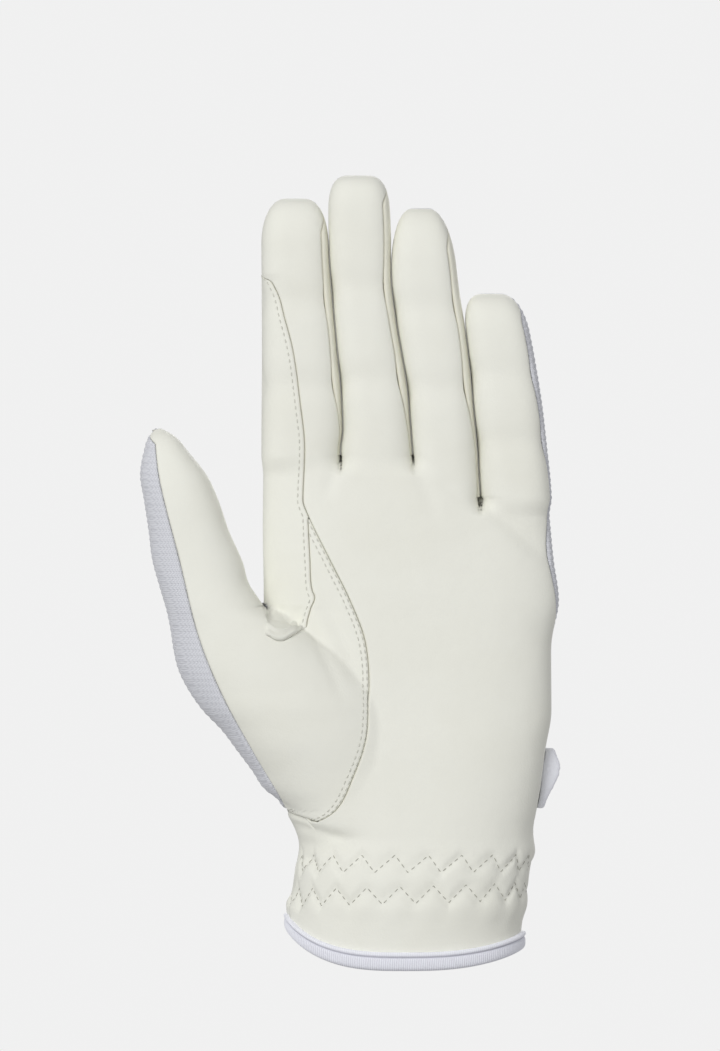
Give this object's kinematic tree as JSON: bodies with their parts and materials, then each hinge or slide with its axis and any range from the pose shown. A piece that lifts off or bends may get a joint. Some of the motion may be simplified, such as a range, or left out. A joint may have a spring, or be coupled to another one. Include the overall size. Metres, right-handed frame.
{
  "type": "riding glove",
  "caption": "Left-hand leather riding glove with a ribbed knit back, shirred cuff, bound rim and wrist closure strap, held up in its worn shape.",
  "frame": {"origin": "middle of the cuff opening, where the wrist leaves the glove", "axes": "+Z from the cuff opening to the fingertips, +X to the little finger side, +Y out of the back of the hand, so the palm faces -Y"},
  "size_m": [0.1266, 0.0501, 0.2418],
  "materials": {
    "palm_leather": "cream-white synthetic leather, fine grain, satin",
    "thumb_leather": "cream-white synthetic leather, fine grain, satin",
    "side_leather": "cream-white synthetic leather, fine grain, satin",
    "fourchette_leather": "cream leather, a little darker and yellower than the palm",
    "back_knit": "white knit with a cool tint, close cross ribs, matt",
    "binding_tape": "white ribbed tape with a cool tint, matt",
    "strap_fabric": "pale grey woven fabric, matt",
    "strap_tape": "white ribbed tape with a cool tint, matt"
  },
  "bodies": {
    "root": {"palm_panel": "palm_leather", "thumb_panel": "thumb_leather", "index_side_panel": "side_leather", "fourchette_index_middle": "fourchette_leather", "fourchette_middle_ring": "fourchette_leather", "fourchette_ring_little": "fourchette_leather", "back_panel": "back_knit", "cuff_binding": "binding_tape", "wrist_strap": "strap_fabric", "wrist_strap_binding": "strap_tape"}
  },
  "joints": []
}
